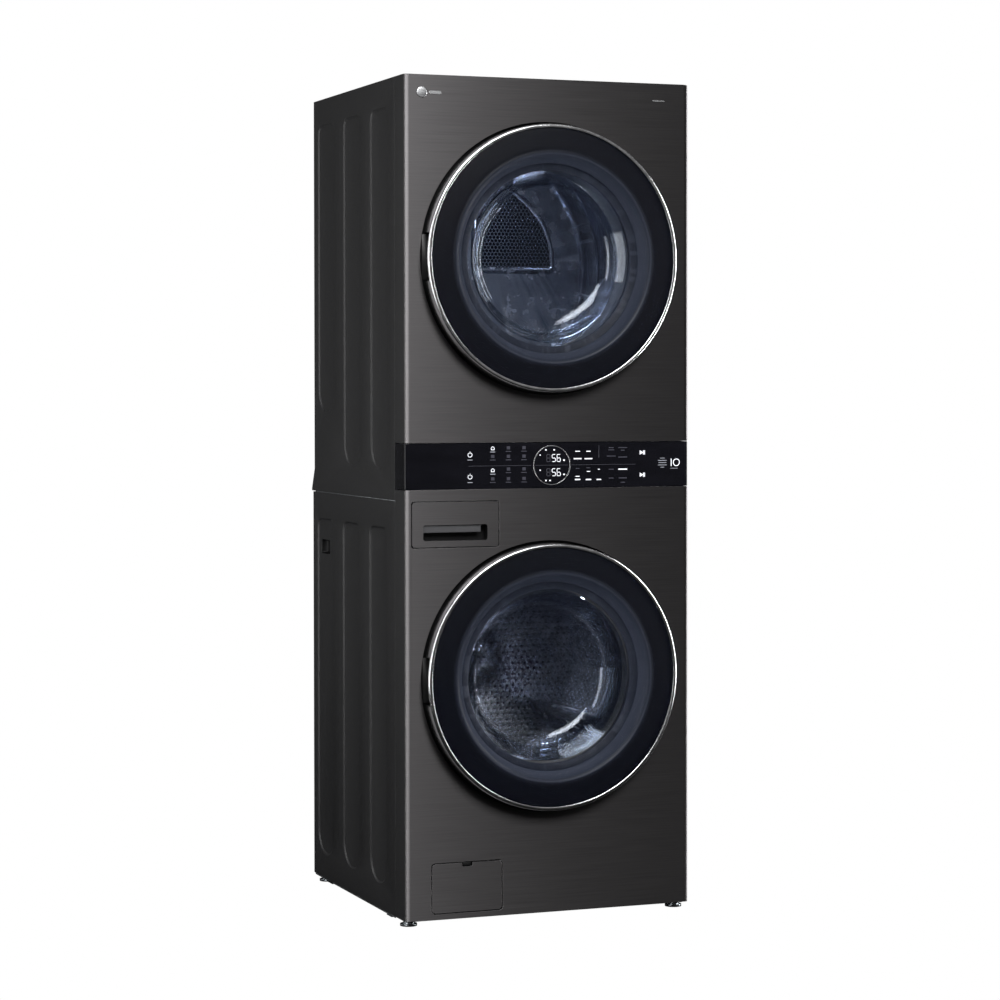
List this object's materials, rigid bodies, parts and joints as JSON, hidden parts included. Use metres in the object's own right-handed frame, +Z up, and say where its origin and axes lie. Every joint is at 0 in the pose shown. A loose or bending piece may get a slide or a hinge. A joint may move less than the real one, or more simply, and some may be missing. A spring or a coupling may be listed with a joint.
{
  "type": "washer dryer stack",
  "caption": "Tall laundry tower: front-loading washer below, dryer on top, black control band between, two large round glass doors, detergent drawer, filter flap, levelling feet.",
  "frame": {"origin": "on the floor, centred under the overall box of the closed machine", "axes": "+Z up, -Y towards the user (the doors face -Y), +X to the viewer's right"},
  "size_m": [0.686, 0.771, 1.889],
  "materials": {
    "black_steel": "brushed black stainless, satin, grain running across",
    "side_paint": "fine-textured satin charcoal paint",
    "top_paint": "satin black paint",
    "zinc_steel": "galvanised sheet, satin",
    "foot_steel": "zinc-plated, dull",
    "gloss_black": "polished piano black",
    "dark_plastic": "moulded satin black",
    "chrome_rim": "bright chrome, lightly satin on the side",
    "tinted_glass": "tempered, blue-grey tint with a black printed border",
    "bowl_glass": "pressed clear glass",
    "drum_steel": "polished stainless",
    "grey_plastic": "moulded grey",
    "white_plastic": "moulded off-white",
    "seal_rubber": "soft grey rubber",
    "belt_rubber": "ribbed black rubber",
    "cast_weight": "rough casting",
    "alloy": "as cast",
    "copper_winding": "lacquered winding",
    "motor_paint": "plain grey enamel",
    "board_green": "lacquered circuit board"
  },
  "bodies": {
    "cabinet": {"base_frame": "zinc_steel", "washer_side_left": "side_paint", "washer_side_right": "side_paint", "dryer_side_left": "side_paint", "dryer_side_right": "side_paint", "washer_back_panel": "side_paint", "dryer_back_panel": "side_paint", "top_panel": "top_paint", "mid_frame": "zinc_steel", "washer_front_panel": "black_steel", "dryer_front_panel": "black_steel", "washer_door_surround": "dark_plastic", "dryer_door_surround": "dark_plastic", "control_fascia": "gloss_black", "control_housing": "dark_plastic", "control_board": "board_green", "drawer_housing": "grey_plastic", "drain_pump": "grey_plastic", "door_hinge_brackets": "zinc_steel", "door_locks": "dark_plastic", "door_gasket": "seal_rubber", "tub_springs": "zinc_steel", "tub_dampers": "grey_plastic", "front_bulkhead": "zinc_steel", "rear_bulkhead": "zinc_steel", "drum_belt": "belt_rubber", "dryer_motor": "motor_paint", "blower_housing": "white_plastic", "exhaust_duct": "zinc_steel", "rear_connections": "white_plastic", "power_cover": "white_plastic"},
    "foot_front_left": {"foot_front_left": "foot_steel"},
    "foot_front_right": {"foot_front_right": "foot_steel"},
    "foot_rear_left": {"foot_rear_left": "foot_steel"},
    "foot_rear_right": {"foot_rear_right": "foot_steel"},
    "washer_door": {"washer_door_rim": "chrome_rim", "washer_door_frame": "dark_plastic", "washer_door_glass": "tinted_glass", "washer_door_bowl": "bowl_glass", "washer_door_hardware": "zinc_steel"},
    "dryer_door": {"dryer_door_rim": "chrome_rim", "dryer_door_frame": "dark_plastic", "dryer_door_glass": "tinted_glass", "dryer_door_bowl": "bowl_glass", "dryer_door_hardware": "zinc_steel"},
    "detergent_drawer": {"drawer_front": "black_steel", "drawer_tray": "white_plastic"},
    "filter_cover": {"filter_cover": "black_steel"},
    "filter_cap": {"filter_cap": "grey_plastic"},
    "lint_filter": {"lint_filter": "grey_plastic"},
    "tub": {"tub_front": "white_plastic", "tub_rear": "white_plastic", "counterweights": "cast_weight", "motor_stator": "copper_winding"},
    "washer_drum": {"washer_drum": "drum_steel", "drum_lifters": "grey_plastic", "drum_spider": "alloy"},
    "dryer_drum": {"dryer_drum": "drum_steel", "dryer_baffles": "drum_steel"},
    "motor_shaft": {"motor_shaft": "foot_steel"}
  },
  "joints": [
    {"name": "washer_door_hinge", "type": "hinge", "parent": "cabinet", "child": "washer_door", "pos_m": [-0.28, -0.3555, 0.548], "axis": [0, 0, -1], "range_deg": [0, 110]},
    {"name": "dryer_door_hinge", "type": "hinge", "parent": "cabinet", "child": "dryer_door", "pos_m": [-0.28, -0.3555, 1.487], "axis": [0, 0, -1], "range_deg": [0, 110]},
    {"name": "detergent_drawer_slide", "type": "slide", "parent": "cabinet", "child": "detergent_drawer", "axis": [0, -1, 0], "range_m": [0, 0.2]},
    {"name": "filter_cover_hinge", "type": "hinge", "parent": "cabinet", "child": "filter_cover", "pos_m": [-0.1975, -0.3331, 0.0322], "axis": [1, 0, 0], "range_deg": [0, 90]},
    {"name": "filter_cap_turn", "type": "hinge", "parent": "cabinet", "child": "filter_cap", "pos_m": [-0.1975, -0.3055, 0.084], "axis": [0, 1, 0], "range_deg": [0, 90]},
    {"name": "lint_filter_slide", "type": "slide", "parent": "cabinet", "child": "lint_filter", "axis": [0, 0, 1], "range_m": [0, 0.26]},
    {"name": "tub_bounce", "type": "slide", "parent": "cabinet", "child": "tub", "axis": [0, 0, 1], "range_m": [-0.008, 0.008], "stiffness_N_per_m": 20000, "springref_m": 0.02263, "deforming": ["tub_springs", "tub_dampers", "door_gasket"]},
    {"name": "washer_drum_spin", "type": "hinge", "parent": "tub", "child": "washer_drum", "pos_m": [0, 0.2645, 0.548], "axis": [0, 1, 0], "continuous": true},
    {"name": "dryer_drum_spin", "type": "hinge", "parent": "cabinet", "child": "dryer_drum", "pos_m": [0, -0.0105, 1.487], "axis": [0, 1, 0], "continuous": true},
    {"name": "motor_shaft_spin", "type": "hinge", "parent": "cabinet", "child": "motor_shaft", "pos_m": [0.11, -0.0855, 1.067], "axis": [0, 1, 0], "continuous": true},
    {"name": "foot_front_left_level", "type": "slide", "parent": "cabinet", "child": "foot_front_left", "axis": [0, 0, -1], "range_m": [0, 0.012]},
    {"name": "foot_front_right_level", "type": "slide", "parent": "cabinet", "child": "foot_front_right", "axis": [0, 0, -1], "range_m": [0, 0.012]},
    {"name": "foot_rear_left_level", "type": "slide", "parent": "cabinet", "child": "foot_rear_left", "axis": [0, 0, -1], "range_m": [0, 0.012]},
    {"name": "foot_rear_right_level", "type": "slide", "parent": "cabinet", "child": "foot_rear_right", "axis": [0, 0, -1], "range_m": [0, 0.012]}
  ],
  "couplings": [
    {"joint": "motor_shaft_spin", "follows": "dryer_drum_spin", "ratio": 22.739}
  ]
}
